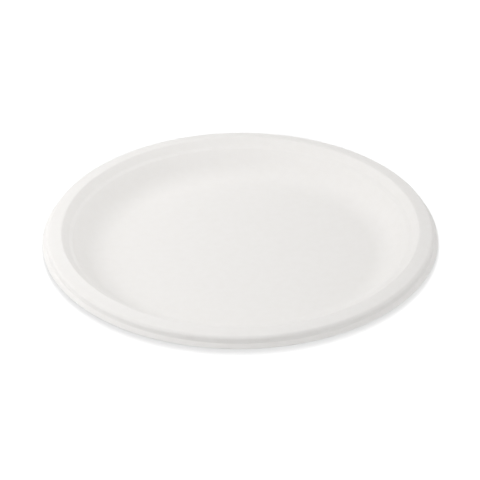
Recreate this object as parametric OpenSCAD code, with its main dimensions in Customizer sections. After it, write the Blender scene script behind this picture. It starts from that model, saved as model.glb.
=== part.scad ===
// Round plate, hot-pressed from pulp as one piece, with a stacking step and a trimmed rim.
// It is one shell of even thickness, turned about the Z axis.
// The section follows the food side from the middle of the floor to the trimmed edge,
// as straight runs joined by round bends. The underside is the same path, one wall lower.
// Origin: the middle of the underside, on the table. +Z is up. All sizes are in millimetres.

/* [Overall] */
// Diameter over the trimmed edge
plate_d = 260; // [220:1:320]
// Height from the table to the top of the rim
plate_h = 20; // [17:0.5:30]
// Thickness of the pressed wall
wall_t = 0.8; // [0.5:0.1:1.4]

/* [Dish] */
// Radius of the round between the floor and the wall
floor_bend = 22; // [6:1:30]
// Slope of the wall above that round, in degrees
wall_slope = 44; // [36:1:58]
// Inside radius of the bend at the top of the wall
wall_top_bend = 2; // [0.4:0.1:4]

/* [Stacking step] */
// Width of the sloped ledge above the wall
ledge_w = 2; // [1:0.1:5]
// Slope of the ledge, in degrees
ledge_slope = 30; // [0:1:34]
// Inside radius of the bend at the foot of the step
step_foot_bend = 1; // [0.4:0.1:3]
// Slope of the step between the ledge and the rim, in degrees
step_slope = 42; // [35:1:60]
// Height of the rim's crest above the ledge's outer end
step_h = 4.2; // [2:0.1:6]

/* [Rim] */
// Width of the rim from its crest to the trimmed edge
rim_w = 12; // [10:0.5:20]
// Inside radius of the bend along the crest
crest_bend = 1.2; // [0.4:0.1:2]
// Slope of the rim's top, falling outwards, in degrees
rim_slope = 8; // [0:1:14]
// Inside radius of the bend at the rim's shoulder
shoulder_bend = 2; // [0.4:0.1:3]
// Slope of the skirt under the shoulder, in degrees
skirt_slope = 74; // [50:1:85]

/* [Trimmed edge] */
// How far the trimmed edge lies below the crest
edge_drop = 7; // [6:0.1:10]
// Width of the lip that flares out from the skirt to the edge
lip_w = 2.1; // [0.8:0.1:3.5]
// Slope of the lip, falling outwards, in degrees
lip_slope = 44; // [0:1:48]
// Inside radius of the bend between the skirt and the lip
lip_bend = 0.8; // [0.3:0.1:1.5]

/* [Hidden] */
// Largest turn between two points of a bend, in degrees
bend_step = 6;
$fn = 180;

// A bend that turns down has its inside on the underside, so the food side adds the wall.
wall_top_r = wall_top_bend + wall_t;
crest_r = crest_bend + wall_t;
shoulder_r = shoulder_bend + wall_t;

// Width and height that a bend of radius r takes between two slopes
function bend_w(r, from, to) = r * abs(sin(to) - sin(from));
function bend_h(r, from, to) = r * abs(cos(to) - cos(from));

// The wall's straight part takes the height that its two bends, the ledge and the step leave.
ledge_h = ledge_w * tan(ledge_slope);
wall_rise = plate_h - step_h - ledge_h - wall_t;
wall_bends_h = bend_h(floor_bend, 0, wall_slope) + bend_h(wall_top_r, wall_slope, ledge_slope);
wall_len = (wall_rise - wall_bends_h) / sin(wall_slope);
wall_bends_w = bend_w(floor_bend, 0, wall_slope) + bend_w(wall_top_r, wall_slope, ledge_slope);
wall_w = wall_bends_w + wall_len * cos(wall_slope);

// The step's straight part does the same between the ledge and the crest.
step_bends_h = bend_h(step_foot_bend, ledge_slope, step_slope) + bend_h(crest_r, step_slope, 0);
step_len = (step_h - step_bends_h) / sin(step_slope);
step_bends_w = bend_w(step_foot_bend, ledge_slope, step_slope) + bend_w(crest_r, step_slope, 0);
step_w = step_bends_w + step_len * cos(step_slope);

// The rim's top and the skirt share what the rim's bends and the lip leave.
rim_bends_w = bend_w(crest_r, 0, rim_slope) + bend_w(shoulder_r, rim_slope, skirt_slope)
    + bend_w(lip_bend, skirt_slope, lip_slope);
rim_bends_h = bend_h(crest_r, 0, rim_slope) + bend_h(shoulder_r, rim_slope, skirt_slope)
    + bend_h(lip_bend, skirt_slope, lip_slope);
rim_run = rim_w - lip_w - rim_bends_w;
rim_fall = edge_drop - lip_w * tan(lip_slope) - rim_bends_h;
rim_len = (rim_run * sin(skirt_slope) - rim_fall * cos(skirt_slope)) / sin(skirt_slope - rim_slope);
skirt_len = (rim_fall * cos(rim_slope) - rim_run * sin(rim_slope)) / sin(skirt_slope - rim_slope);

// The floor takes the radius that is left.
floor_r = plate_d / 2 - rim_w - step_w - ledge_w - wall_w;

// Each move bends to a slope on a radius, then runs straight.
moves = [
    [0, 0, floor_r],
    [wall_slope, floor_bend, wall_len],
    [ledge_slope, wall_top_r, ledge_w / cos(ledge_slope)],
    [step_slope, step_foot_bend, step_len],
    [-rim_slope, crest_r, rim_len],
    [-skirt_slope, shoulder_r, skirt_len],
    [-lip_slope, lip_bend, lip_w / cos(lip_slope)]
];

// A station is a point on the food side with its slope: [radius, height, slope].
function ahead(at, run) = [at[0] + run * cos(at[2]), at[1] + run * sin(at[2]), at[2]];

function turned(at, slope, r) =
    let (side = slope > at[2] ? r : -r)
    [
        at[0] + side * (sin(slope) - sin(at[2])),
        at[1] + side * (cos(at[2]) - cos(slope)),
        slope
    ];

function bend(at, slope, r) =
    let (turn = slope - at[2], count = ceil(abs(turn) / bend_step))
    [for (i = [1:1:count]) turned(at, at[2] + turn * i / count, r)];

// All stations from one on, through the moves that are left
function path(at, i = 0) =
    i == len(moves) ? [at] :
    let (bent = bend(at, moves[i][0], moves[i][1]))
    let (end = len(bent) > 0 ? bent[len(bent) - 1] : at)
    concat([at], bent, path(ahead(end, moves[i][2]), i + 1));

// The point of the underside that lies one wall under a station
function set_down(at) = [at[0] + wall_t * sin(at[2]), at[1] - wall_t * cos(at[2])];

food_side = path([0, wall_t, 0]);
underside = [for (i = [len(food_side) - 1:-1:0]) set_down(food_side[i])];

module plate_section() {
    polygon(concat([for (at = food_side) [at[0], at[1]]], underside));
}

module plate() {
    color("#f4f1ea")
        rotate_extrude()
            plate_section();
}

plate();
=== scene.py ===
"""A round plate of pressed pulp on a pale table, under soft light from the left."""
import math

import bmesh
import bpy
from mathutils import Matrix, Vector


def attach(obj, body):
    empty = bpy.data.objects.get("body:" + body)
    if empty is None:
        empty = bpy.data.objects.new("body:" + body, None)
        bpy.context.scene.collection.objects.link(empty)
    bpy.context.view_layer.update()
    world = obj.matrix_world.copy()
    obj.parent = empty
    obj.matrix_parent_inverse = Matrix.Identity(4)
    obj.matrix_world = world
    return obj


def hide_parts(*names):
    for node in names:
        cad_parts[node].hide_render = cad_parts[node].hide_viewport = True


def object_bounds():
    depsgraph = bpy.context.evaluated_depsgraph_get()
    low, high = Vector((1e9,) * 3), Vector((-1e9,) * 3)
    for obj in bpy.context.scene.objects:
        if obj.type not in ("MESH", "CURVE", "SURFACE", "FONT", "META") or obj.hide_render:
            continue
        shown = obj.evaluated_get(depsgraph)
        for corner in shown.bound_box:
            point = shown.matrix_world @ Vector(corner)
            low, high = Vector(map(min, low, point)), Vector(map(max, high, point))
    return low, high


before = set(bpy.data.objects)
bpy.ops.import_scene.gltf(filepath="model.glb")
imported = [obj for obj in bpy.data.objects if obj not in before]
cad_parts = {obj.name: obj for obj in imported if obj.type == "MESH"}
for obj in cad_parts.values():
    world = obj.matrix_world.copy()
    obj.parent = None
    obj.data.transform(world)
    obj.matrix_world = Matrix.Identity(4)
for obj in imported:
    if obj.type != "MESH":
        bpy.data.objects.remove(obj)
cad_low, cad_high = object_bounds()

MM = 0.001
NODE = "plate"

# Overall sizes, from the frame
EDGE_R = (cad_high.x - cad_low.x) / 2
HEIGHT = round(cad_high.z, 5)

# Sizes of the section, as in the part's source
WALL = 0.8 * MM
FLOOR_BEND = 22 * MM
WALL_SLOPE = math.radians(44)
WALL_TOP_BEND = 2 * MM
LEDGE_W = 2 * MM
LEDGE_SLOPE = math.radians(30)
STEP_FOOT_BEND = 1 * MM
STEP_SLOPE = math.radians(42)
STEP_H = 4.2 * MM
RIM_W = 12 * MM
CREST_BEND = 1.2 * MM
RIM_SLOPE = math.radians(8)
SHOULDER_BEND = 2 * MM
SKIRT_SLOPE = math.radians(74)
EDGE_DROP = 7 * MM
LIP_W = 2.1 * MM
LIP_SLOPE = math.radians(44)
LIP_BEND = 0.8 * MM

# How finely the section and the turn are divided, and how near two points count as one
RUN_STEP = 4 * MM
BEND_STEP = 1.3 * MM
BEND_TURN = math.radians(9)
AROUND = 420
SAME_POINT = 0.001 * MM

# The cut edge's two corners, worn round
EDGE_ROUND = 0.14 * MM
EDGE_ROUND_PARTS = 3

# How a real plate strays from its mould: the floor's lift in soft patches inside a ring,
# the rim's sway from a radius outwards, and the die's cut
FLOOR_LIFT = 0.18 * MM
FLOOR_LIFT_SIZE = 45 * MM
FLOOR_LIFT_FULL_R = 60 * MM
FLOOR_LIFT_END_R = 84 * MM
RIM_SWAY = 0.15 * MM
RIM_SWAYS = 1.6
RIM_SWAY_FROM_R = 100 * MM
TRIM_WANDER = 0.1 * MM
TRIM_WANDERS = 22.0

SEED = 7

# The pulp's colours
PULP_THIN = (0.850, 0.833, 0.813, 1)
PULP_THICK = (0.861, 0.846, 0.828, 1)
PULP_FIBRE = (0.875, 0.862, 0.845, 1)
PULP_PITH = (0.79, 0.765, 0.735, 1)

# How many clouds, strands, specks and grains go to a millimetre. Strands have a half width as well,
# and specks a size and the share of them that is kept.
CLOUDS_PER_MM = 0.2
COARSE_STRANDS = (0.55, 0.030)
FINE_STRANDS = (1.3, 0.035)
PITH_SPECKS = (0.16, 0.05, 0.4)
GRAIN_PER_MM = 2.2
TORN_PER_MM = 5.0

# How strongly fibres and specks colour the pulp
FIBRE_SHOWN = 0.5
PITH_SHOWN = 0.5

# The pulp's relief in millimetres
GRAIN_MM = 0.012
FIBRE_MM = 0.006
WIRE_PITCH_MM = 0.9
WIRE_DEPTH_MM = 0.018
TORN_MM = 0.05

# How the camera sees the table: what it takes of the light, and its own glow,
# which rises for each metre farther than a given radius
TABLE_SEEN = 0.2
TABLE_GLOW = 0.535
GLOW_RISE = 0.5
GLOW_RISE_FROM = 150 * MM

# What the table throws back onto the plate
TABLE_COLOUR = (0.74, 0.74, 0.74, 1)

# The table's own lamp has a small nominal power, so that the plate's lamps are still sampled well,
# and gives this many times as much.
TABLE_LAMP_TIMES = 8.8

# Half the table's side, in metres
TABLE_HALF = 6.0

# The soft lamps: azimuth and elevation in degrees, distance, width and height in metres, power in watts
PLATE_LAMPS = (
    ("top_softbox", 180, 80, 0.9, 0.4, 0.4, 2.40),
    ("left_softbox", 180, 30, 0.8, 0.3, 0.3, 1.026),
    ("back_left_softbox", 165, 45, 0.8, 0.3, 0.3, 0.786),
)
TABLE_LAMP = ("front_softbox", 270, 38, 1.0, 0.12, 0.45, 4.0)

# The room's light from the left, the right, the front and above
ROOM_LIGHT = (
    ((-1, 0, 0), 0.66),
    ((1, 0, 0), 1.054),
    ((0, -1, 0), 0.212),
    ((0, 0, 1), 0.186),
)


def bend_size(radius, start, end):
    """Width and height that a bend takes between two slopes."""
    return (
        radius * abs(math.sin(end) - math.sin(start)),
        radius * abs(math.cos(end) - math.cos(start)),
    )


def section_moves():
    """The section's moves: bend to a slope on a radius of the food side, then run straight."""
    wall_top_r = WALL_TOP_BEND + WALL
    crest_r = CREST_BEND + WALL
    shoulder_r = SHOULDER_BEND + WALL

    floor_w, floor_h = bend_size(FLOOR_BEND, 0, WALL_SLOPE)
    top_w, top_h = bend_size(wall_top_r, WALL_SLOPE, LEDGE_SLOPE)
    ledge_h = LEDGE_W * math.tan(LEDGE_SLOPE)
    wall_len = (HEIGHT - STEP_H - ledge_h - WALL - floor_h - top_h) / math.sin(WALL_SLOPE)
    wall_w = floor_w + top_w + wall_len * math.cos(WALL_SLOPE)

    foot_w, foot_h = bend_size(STEP_FOOT_BEND, LEDGE_SLOPE, STEP_SLOPE)
    crest_in_w, crest_in_h = bend_size(crest_r, STEP_SLOPE, 0)
    step_len = (STEP_H - foot_h - crest_in_h) / math.sin(STEP_SLOPE)
    step_w = foot_w + crest_in_w + step_len * math.cos(STEP_SLOPE)

    rim_bends = (
        bend_size(crest_r, 0, RIM_SLOPE),
        bend_size(shoulder_r, RIM_SLOPE, SKIRT_SLOPE),
        bend_size(LIP_BEND, SKIRT_SLOPE, LIP_SLOPE),
    )
    run = RIM_W - LIP_W - sum(width for width, _ in rim_bends)
    fall = EDGE_DROP - LIP_W * math.tan(LIP_SLOPE) - sum(height for _, height in rim_bends)
    between = math.sin(SKIRT_SLOPE - RIM_SLOPE)
    rim_len = (run * math.sin(SKIRT_SLOPE) - fall * math.cos(SKIRT_SLOPE)) / between
    skirt_len = (fall * math.cos(RIM_SLOPE) - run * math.sin(RIM_SLOPE)) / between

    floor_r = EDGE_R - RIM_W - step_w - LEDGE_W - wall_w
    return (
        (0, 0, floor_r),
        (WALL_SLOPE, FLOOR_BEND, wall_len),
        (LEDGE_SLOPE, wall_top_r, LEDGE_W / math.cos(LEDGE_SLOPE)),
        (STEP_SLOPE, STEP_FOOT_BEND, step_len),
        (-RIM_SLOPE, crest_r, rim_len),
        (-SKIRT_SLOPE, shoulder_r, skirt_len),
        (-LIP_SLOPE, LIP_BEND, LIP_W / math.cos(LIP_SLOPE)),
    )


def food_side(moves):
    """Stations (radius, height, slope) along the food side, from the middle of the floor to the edge."""
    radius, height, slope = 0.0, WALL, 0.0
    stations = [(radius, height, slope)]
    for new_slope, bend, run in moves:
        turn = new_slope - slope
        side = bend if turn > 0 else -bend
        parts = max(math.ceil(abs(turn) / BEND_TURN), math.ceil(abs(turn) * bend / BEND_STEP))
        for part in range(1, parts + 1):
            at = slope + turn * part / parts
            stations.append((
                radius + side * (math.sin(at) - math.sin(slope)),
                height + side * (math.cos(slope) - math.cos(at)),
                at,
            ))
        radius, height, slope = stations[-1][0], stations[-1][1], new_slope
        parts = math.ceil(run / RUN_STEP)
        for part in range(1, parts + 1):
            along = run * part / parts
            stations.append((radius + along * math.cos(slope), height + along * math.sin(slope), slope))
        radius, height = stations[-1][0], stations[-1][1]
    return stations


def cut_edge(top, bottom, slope):
    """Points of the edge left by the trimming die, from the food side down, with both corners worn round."""
    outward = (math.cos(slope), math.sin(slope))
    points = []
    for corner, start, down in ((top, math.pi / 2, -1), (bottom, 0.0, 1)):
        centre = (
            corner[0] - EDGE_ROUND * (outward[0] + down * outward[1]),
            corner[1] - EDGE_ROUND * (outward[1] - down * outward[0]),
        )
        for part in range(EDGE_ROUND_PARTS + 1):
            angle = slope + start - math.pi / 2 * part / EDGE_ROUND_PARTS
            points.append((
                centre[0] + EDGE_ROUND * math.cos(angle),
                centre[1] + EDGE_ROUND * math.sin(angle),
            ))
    return points


def section_points():
    """The closed section as (radius, height, wire side, cut edge), the last two as 0 or 1."""
    stations = food_side(section_moves())
    under = [
        (radius + WALL * math.sin(slope), height - WALL * math.cos(slope))
        for radius, height, slope in reversed(stations)
    ]
    points = [(radius, height, 0.0, 0.0) for radius, height, _ in stations[:-1]]
    points += [(*point, 0.0, 1.0) for point in cut_edge(stations[-1][:2], under[0], stations[-1][2])]
    points += [(radius, height, 1.0, 0.0) for radius, height in under[1:]]
    return points


def section_mesh():
    """A mesh of loose points in the XZ plane that holds the section, with its two marks as attributes."""
    points = section_points()
    mesh = bpy.data.meshes.new("plate_section")
    mesh.from_pydata([(radius, 0, height) for radius, height, _, _ in points], [], [])
    for name, place in (("wire_side", 2), ("cut_edge", 3)):
        mark = mesh.attributes.new(name, "FLOAT", "POINT")
        mark.data.foreach_set("value", [point[place] for point in points])
    return mesh


def put(tree, kind, inputs=None, **settings):
    """Adds a node with its settings. An input given as a socket is linked, any other is set."""
    node = tree.nodes.new(kind)
    for name, value in settings.items():
        setattr(node, name, value)
    for name, value in (inputs or {}).items():
        if isinstance(value, bpy.types.NodeSocket):
            tree.links.new(value, node.inputs[name])
        else:
            node.inputs[name].default_value = value
    return node


def sums(tree, operation, *values):
    """A Math node's result."""
    return put(tree, "ShaderNodeMath", dict(enumerate(values)), operation=operation).outputs[0]


def graded(tree, value, low, high, out_low=0.0, out_high=1.0):
    """A value moved smoothly from one range to another, and kept within it."""
    inputs = {"Value": value, "From Min": low, "From Max": high, "To Min": out_low, "To Max": out_high}
    return put(tree, "ShaderNodeMapRange", inputs, interpolation_type="SMOOTHSTEP").outputs["Result"]


TURN_INPUTS = (
    ("Section", "NodeSocketGeometry", None),
    ("Around", "NodeSocketInt", AROUND),
    ("Floor lift", "NodeSocketFloat", FLOOR_LIFT),
    ("Floor lift size", "NodeSocketFloat", FLOOR_LIFT_SIZE),
    ("Rim sway", "NodeSocketFloat", RIM_SWAY),
    ("Rim sways", "NodeSocketFloat", RIM_SWAYS),
    ("Trim wander", "NodeSocketFloat", TRIM_WANDER),
    ("Seed", "NodeSocketInt", SEED),
    ("Pulp", "NodeSocketMaterial", None),
)


def turned_shell_tree():
    """Geometry Nodes that turn the section about Z, then let the floor lift and the rim sway a little."""
    tree = bpy.data.node_groups.new("turned_shell", "GeometryNodeTree")
    for name, kind, value in TURN_INPUTS:
        socket = tree.interface.new_socket(name, in_out="INPUT", socket_type=kind)
        if value is not None:
            socket.default_value = value
    tree.interface.new_socket("Shell", in_out="OUTPUT", socket_type="NodeSocketGeometry")
    given = tree.nodes.new("NodeGroupInput").outputs

    # A grid with one column for each point of the section, and one row for each step of the turn
    size = put(tree, "GeometryNodeAttributeDomainSize", {"Geometry": given["Section"]})
    rows = sums(tree, "ADD", given["Around"], 1)
    grid = put(tree, "GeometryNodeMeshGrid", {"Vertices X": size.outputs["Point Count"], "Vertices Y": rows})
    index = put(tree, "GeometryNodeInputIndex").outputs[0]
    column = sums(tree, "FLOOR", sums(tree, "DIVIDE", index, rows))
    row = sums(tree, "SUBTRACT", index, sums(tree, "MULTIPLY", column, rows))
    angle = sums(tree, "DIVIDE", sums(tree, "MULTIPLY", row, math.tau), given["Around"])

    def of_section(value, kind):
        sample = put(
            tree, "GeometryNodeSampleIndex",
            {"Geometry": given["Section"], "Value": value, "Index": column}, data_type=kind,
        )
        return sample.outputs["Value"]

    place = of_section(put(tree, "GeometryNodeInputPosition").outputs[0], "FLOAT_VECTOR")
    parts = put(tree, "ShaderNodeSeparateXYZ", {"Vector": place}).outputs
    radius = parts["X"]

    # The floor lifts off the table in soft patches, inside the ring that it stands on.
    across = sums(tree, "COSINE", angle)
    along = sums(tree, "SINE", angle)
    flat = put(tree, "ShaderNodeCombineXYZ", {
        "X": sums(tree, "MULTIPLY", radius, across),
        "Y": sums(tree, "MULTIPLY", radius, along),
    }).outputs[0]
    patches = put(
        tree, "ShaderNodeTexNoise",
        {"Vector": flat, "W": given["Seed"], "Detail": 1.0,
         "Scale": sums(tree, "DIVIDE", 1, given["Floor lift size"])},
        noise_dimensions="4D",
    ).outputs[0]
    lift = sums(tree, "MULTIPLY", patches, given["Floor lift"])
    lift = sums(tree, "MULTIPLY", lift, graded(tree, radius, FLOOR_LIFT_FULL_R, FLOOR_LIFT_END_R, 1.0, 0.0))

    # The rim sways down a little, more towards its edge.
    ring = put(tree, "ShaderNodeCombineXYZ", {"X": across, "Y": along}).outputs[0]
    sways = put(
        tree, "ShaderNodeTexNoise",
        {"Vector": ring, "W": given["Seed"], "Scale": given["Rim sways"], "Detail": 2.0},
        noise_dimensions="4D",
    ).outputs[0]
    sway = sums(tree, "MULTIPLY", sways, given["Rim sway"])
    sway = sums(tree, "MULTIPLY", sway, graded(tree, radius, RIM_SWAY_FROM_R, EDGE_R))
    height = sums(tree, "SUBTRACT", sums(tree, "ADD", parts["Z"], lift), sway)

    # The die's cut wanders inwards by a hair.
    cut = put(tree, "GeometryNodeInputNamedAttribute", {"Name": "cut_edge"}, data_type="FLOAT").outputs[0]
    cut = of_section(cut, "FLOAT")
    wander = put(
        tree, "ShaderNodeTexNoise",
        {"Vector": ring, "W": given["Seed"], "Scale": TRIM_WANDERS, "Detail": 3.0},
        noise_dimensions="4D",
    ).outputs[0]
    inwards = sums(tree, "MULTIPLY", sums(tree, "MULTIPLY", wander, given["Trim wander"]), cut)
    trimmed = sums(tree, "SUBTRACT", radius, inwards)

    turned = put(tree, "ShaderNodeCombineXYZ", {
        "X": sums(tree, "MULTIPLY", trimmed, across),
        "Y": sums(tree, "MULTIPLY", trimmed, along),
        "Z": height,
    }).outputs[0]

    wire = put(tree, "GeometryNodeInputNamedAttribute", {"Name": "wire_side"}, data_type="FLOAT").outputs[0]
    wire = of_section(wire, "FLOAT")
    shell = grid.outputs["Mesh"]
    for name, value in (("wire_side", wire), ("cut_edge", cut)):
        shell = put(
            tree, "GeometryNodeStoreNamedAttribute", {"Geometry": shell, "Name": name, "Value": value},
            data_type="FLOAT", domain="POINT",
        ).outputs[0]
    shell = put(tree, "GeometryNodeSetPosition", {"Geometry": shell, "Position": turned}).outputs[0]
    shell = put(tree, "GeometryNodeMergeByDistance", {"Geometry": shell, "Distance": SAME_POINT}).outputs[0]
    shell = put(tree, "GeometryNodeSetShadeSmooth", {"Geometry": shell}).outputs[0]
    shell = put(tree, "GeometryNodeRealizeInstances", {"Geometry": shell}).outputs[0]
    shell = put(tree, "GeometryNodeSetMaterial", {"Geometry": shell, "Material": given["Pulp"]}).outputs[0]
    put(tree, "NodeGroupOutput", {"Shell": shell})
    return tree


def made_plain(thing, name):
    """A new object with the plain mesh that a thing's modifiers make."""
    depsgraph = bpy.context.evaluated_depsgraph_get()
    mesh = bpy.data.meshes.new_from_object(thing.evaluated_get(depsgraph))
    mesh.name = name
    bpy.data.objects.remove(thing)
    plain = bpy.data.objects.new(name, mesh)
    bpy.context.scene.collection.objects.link(plain)
    return plain


def face_outwards(mesh):
    """Turns every face to point out of the closed shell."""
    shell = bmesh.new()
    shell.from_mesh(mesh)
    bmesh.ops.recalc_face_normals(shell, faces=shell.faces)
    if shell.calc_volume(signed=True) < 0:
        bmesh.ops.reverse_faces(shell, faces=shell.faces)
    shell.to_mesh(mesh)
    shell.free()


def pressed_plate(pulp):
    """The whole plate, turned from its section."""
    seed = bpy.data.objects.new("plate_section", section_mesh())
    bpy.context.scene.collection.objects.link(seed)
    tree = turned_shell_tree()
    press = seed.modifiers.new("press", "NODES")
    press.node_group = tree
    for socket in tree.interface.items_tree:
        if socket.name == "Pulp":
            press[socket.identifier] = pulp
    plate = made_plain(seed, "pressed_plate")
    face_outwards(plate.data)
    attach(plate, "root")
    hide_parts(NODE)
    return plate


def seen_directly(tree):
    """1 for rays from the camera, and for those that it sends by way of a gloss or through glass."""
    rays = put(tree, "ShaderNodeLightPath").outputs
    seen = sums(tree, "MAXIMUM", rays["Is Camera Ray"], rays["Is Glossy Ray"])
    return sums(tree, "MAXIMUM", seen, rays["Is Transmission Ray"])


def new_material(name):
    material = bpy.data.materials.new(name)
    material.use_nodes = True
    material.node_tree.nodes.clear()
    return material


def noise(tree, place, per_mm, detail=2.0, seed=0.0, distortion=0.0):
    """Noise around 0.5 on a place in millimetres."""
    inputs = {"Vector": place, "W": seed, "Scale": per_mm, "Detail": detail, "Distortion": distortion}
    return put(tree, "ShaderNodeTexNoise", inputs, noise_dimensions="4D").outputs["Fac"]


def strands(tree, place, per_mm, half, seed):
    """1 along thin curling strands in broken lengths, 0 between them."""
    field = noise(tree, place, per_mm, 1.0, seed, 1.6)
    away = sums(tree, "ABSOLUTE", sums(tree, "SUBTRACT", field, 0.5))
    lengths = graded(tree, noise(tree, place, per_mm * 1.3, 0.0, seed + 5), 0.47, 0.56)
    return sums(tree, "MULTIPLY", graded(tree, away, 0.0, half, 1.0, 0.0), lengths)


def specks(tree, place, per_mm, size, kept, seed):
    """1 on a few small specks of pith: the cells of a Voronoi that a random share keeps."""
    cells = put(tree, "ShaderNodeTexVoronoi", {"Vector": place, "W": seed, "Scale": per_mm},
                voronoi_dimensions="4D").outputs
    draw = put(tree, "ShaderNodeSeparateColor", {"Color": cells["Color"]}).outputs[0]
    near = graded(tree, cells["Distance"], 0.0, size, 1.0, 0.0)
    return sums(tree, "MULTIPLY", near, sums(tree, "LESS_THAN", draw, kept))


def wire_print(tree, place):
    """The print of a plain woven wire: a height from -1 to 1 on a square pitch."""
    parts = put(tree, "ShaderNodeSeparateXYZ", {"Vector": place}).outputs
    waves = [
        sums(tree, "COSINE", sums(tree, "MULTIPLY", parts[way], math.tau / WIRE_PITCH_MM))
        for way in ("X", "Y")
    ]
    return sums(tree, "MULTIPLY", sums(tree, "ADD", *waves), 0.5)


def marked(tree, name):
    """A mark of the mesh, 0 or 1."""
    return put(tree, "ShaderNodeAttribute", attribute_name=name).outputs["Fac"]


def pulp_material():
    """Bleached pulp: off-white and matt, with short fibres, and the forming wire's print underneath."""
    material = new_material("bleached_pulp")
    tree = material.node_tree
    place = put(tree, "ShaderNodeTexCoord").outputs["Object"]
    scaled = put(tree, "ShaderNodeVectorMath", {0: place, "Scale": 1 / MM}, operation="SCALE")
    in_mm = scaled.outputs[0]
    wire_side = marked(tree, "wire_side")
    cut = marked(tree, "cut_edge")

    # Colour: soft clouds where the pulp lies thicker, pale fibres, and a few specks of pith
    cloud = graded(tree, noise(tree, in_mm, CLOUDS_PER_MM, 4.0), 0.3, 0.7)
    tone = put(tree, "ShaderNodeMix", {"A": PULP_THIN, "B": PULP_THICK}, data_type="RGBA")
    tree.links.new(cloud, tone.inputs["Factor"])
    coarse = strands(tree, in_mm, *COARSE_STRANDS, 1.0)
    fine = strands(tree, in_mm, *FINE_STRANDS, 2.0)
    fibres = sums(tree, "MAXIMUM", coarse, fine)
    pith = specks(tree, in_mm, *PITH_SPECKS, 3.0)
    paler = put(tree, "ShaderNodeMix", {"B": PULP_FIBRE}, data_type="RGBA")
    tree.links.new(tone.outputs["Result"], paler.inputs["A"])
    tree.links.new(sums(tree, "MULTIPLY", fibres, FIBRE_SHOWN), paler.inputs["Factor"])
    flecked = put(tree, "ShaderNodeMix", {"B": PULP_PITH}, data_type="RGBA")
    tree.links.new(paler.outputs["Result"], flecked.inputs["A"])
    tree.links.new(sums(tree, "MULTIPLY", pith, PITH_SHOWN), flecked.inputs["Factor"])

    # Relief: fine grain, raised fibres, the wire's print underneath, and torn fibres on the cut
    grain = sums(tree, "MULTIPLY", noise(tree, in_mm, GRAIN_PER_MM, 6.0, 4.0), GRAIN_MM)
    raised = sums(tree, "MULTIPLY", fibres, FIBRE_MM)
    wires = sums(tree, "MULTIPLY", wire_print(tree, in_mm), wire_side)
    wires = sums(tree, "MULTIPLY", wires, WIRE_DEPTH_MM)
    torn = sums(tree, "MULTIPLY", noise(tree, in_mm, TORN_PER_MM, 3.0, 6.0), cut)
    torn = sums(tree, "MULTIPLY", torn, TORN_MM)
    height = sums(tree, "ADD", sums(tree, "ADD", grain, raised), sums(tree, "ADD", wires, torn))
    bump = put(tree, "ShaderNodeBump", {"Height": height, "Strength": 1.0, "Distance": MM})

    shader = put(tree, "ShaderNodeBsdfPrincipled", {
        "Roughness": 0.7, "Specular IOR Level": 0.3, "Sheen Weight": 0.05, "Sheen Roughness": 0.5,
        "Base Color": flecked.outputs["Result"], "Normal": bump.outputs[0],
    })
    put(tree, "ShaderNodeOutputMaterial", {"Surface": shader.outputs[0]})
    return material


def table_material():
    """A pale matt table. The camera, and what reflects it, sees it brighter, up to white, with its shadow."""
    material = new_material("pale_table")
    tree = material.node_tree
    matt = put(tree, "ShaderNodeBsdfDiffuse", {"Color": TABLE_COLOUR}).outputs[0]
    seen_colour = (TABLE_SEEN, TABLE_SEEN, TABLE_SEEN, 1)
    shaded = put(tree, "ShaderNodeBsdfDiffuse", {"Color": seen_colour}).outputs[0]
    place = put(tree, "ShaderNodeTexCoord").outputs["Object"]
    away = put(tree, "ShaderNodeVectorMath", {0: place}, operation="LENGTH").outputs["Value"]
    farther = sums(tree, "MAXIMUM", sums(tree, "SUBTRACT", away, GLOW_RISE_FROM), 0.0)
    strength = sums(tree, "ADD", sums(tree, "MULTIPLY", farther, GLOW_RISE), TABLE_GLOW)
    glow = put(tree, "ShaderNodeEmission", {"Strength": strength}).outputs[0]
    bright = put(tree, "ShaderNodeAddShader", {0: shaded, 1: glow}).outputs[0]
    both = put(tree, "ShaderNodeMixShader", {0: seen_directly(tree), 1: matt, 2: bright}).outputs[0]
    put(tree, "ShaderNodeOutputMaterial", {"Surface": both})
    return material


def table():
    """A wide flat table under the plate."""
    corners = [(-1, -1), (1, -1), (1, 1), (-1, 1)]
    mesh = bpy.data.meshes.new("table")
    mesh.from_pydata([(x * TABLE_HALF, y * TABLE_HALF, 0) for x, y in corners], [], [(0, 1, 2, 3)])
    mesh.materials.append(table_material())
    top = bpy.data.objects.new("table", mesh)
    bpy.context.scene.collection.objects.link(top)
    return top


def room():
    """A white room whose side walls are the brightest. It is plain white where it is seen."""
    world = bpy.data.worlds.new("room")
    world.use_nodes = True
    tree = world.node_tree
    tree.nodes.clear()
    way = put(tree, "ShaderNodeTexCoord").outputs["Generated"]
    light = 0.0
    for toward, strength in ROOM_LIGHT:
        dot = put(tree, "ShaderNodeVectorMath", {0: way, 1: toward}, operation="DOT_PRODUCT")
        facing = dot.outputs["Value"]
        share = sums(tree, "MULTIPLY", sums(tree, "MAXIMUM", facing, 0.0), strength)
        light = sums(tree, "ADD", share, light)
    dim = put(tree, "ShaderNodeBackground", {"Color": (1, 1, 1, 1), "Strength": light}).outputs[0]
    white = put(tree, "ShaderNodeBackground", {"Color": (1, 1, 1, 1), "Strength": 1.0}).outputs[0]
    both = put(tree, "ShaderNodeMixShader", {0: seen_directly(tree), 1: dim, 2: white}).outputs[0]
    put(tree, "ShaderNodeOutputWorld", {"Surface": both})
    bpy.context.scene.world = world


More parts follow.
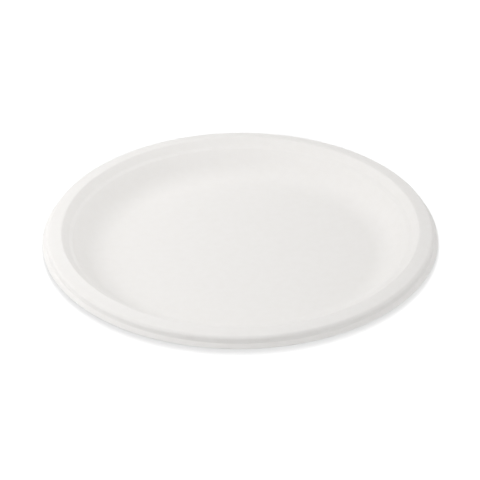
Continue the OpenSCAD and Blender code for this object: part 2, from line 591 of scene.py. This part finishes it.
def softbox(name, azimuth, up, far, wide, tall, power):
    """An area lamp that faces the plate, from an azimuth and an elevation in degrees."""
    lamp = bpy.data.lights.new(name, "AREA")
    lamp.shape = "RECTANGLE"
    lamp.size = wide
    lamp.size_y = tall
    lamp.energy = power
    thing = bpy.data.objects.new(name, lamp)
    bpy.context.scene.collection.objects.link(thing)
    azimuth, up = math.radians(azimuth), math.radians(up)
    toward = Vector((math.cos(azimuth) * math.cos(up), math.sin(azimuth) * math.cos(up), math.sin(up)))
    thing.location = toward * far
    thing.rotation_euler = (-toward).to_track_quat("-Z", "Y").to_euler()
    return thing


def light_table_alone(lamp, table_top):
    """Keeps a lamp's light on the table, and off all that the table would throw it back on."""
    lit = bpy.data.collections.new("lit_table")
    lit.objects.link(table_top)
    lamp.light_linking.receiver_collection = lit
    lamp.data.use_nodes = True
    tree = lamp.data.node_tree
    tree.nodes.clear()
    depth = put(tree, "ShaderNodeLightPath").outputs["Ray Depth"]
    strength = sums(tree, "MULTIPLY", sums(tree, "LESS_THAN", depth, 1.5), TABLE_LAMP_TIMES)
    glow = put(tree, "ShaderNodeEmission", {"Strength": strength}).outputs[0]
    put(tree, "ShaderNodeOutputLight", {"Surface": glow})


# The camera, in the photograph's frame of 480 by 480 pixels
FRAME_PX = 480
SENSOR_MM = 36
CAMERA_FAR = 1.2
CAMERA_UP = math.radians(32.4)
CAMERA_ROLL = math.radians(0.45)
PX_PER_M = 1512
AIM = (-0.15 * MM, 0, 7.6 * MM)


def camera():
    data = bpy.data.cameras.new("camera")
    data.sensor_width = SENSOR_MM
    data.lens = PX_PER_M * CAMERA_FAR / FRAME_PX * SENSOR_MM
    data.clip_start = 0.05
    data.clip_end = 50
    thing = bpy.data.objects.new("camera", data)
    bpy.context.scene.collection.objects.link(thing)
    back = Vector((0, -math.cos(CAMERA_UP), math.sin(CAMERA_UP)))
    thing.location = Vector(AIM) + back * CAMERA_FAR
    turn = (-back).to_track_quat("-Z", "Y").to_matrix() @ Matrix.Rotation(-CAMERA_ROLL, 3, "Z")
    thing.rotation_euler = turn.to_euler()
    bpy.context.scene.camera = thing


bpy.context.scene.view_settings.view_transform = "Standard"
camera()
room()
for plate_lamp in PLATE_LAMPS:
    softbox(*plate_lamp)
light_table_alone(softbox(*TABLE_LAMP), table())
pressed_plate(pulp_material())
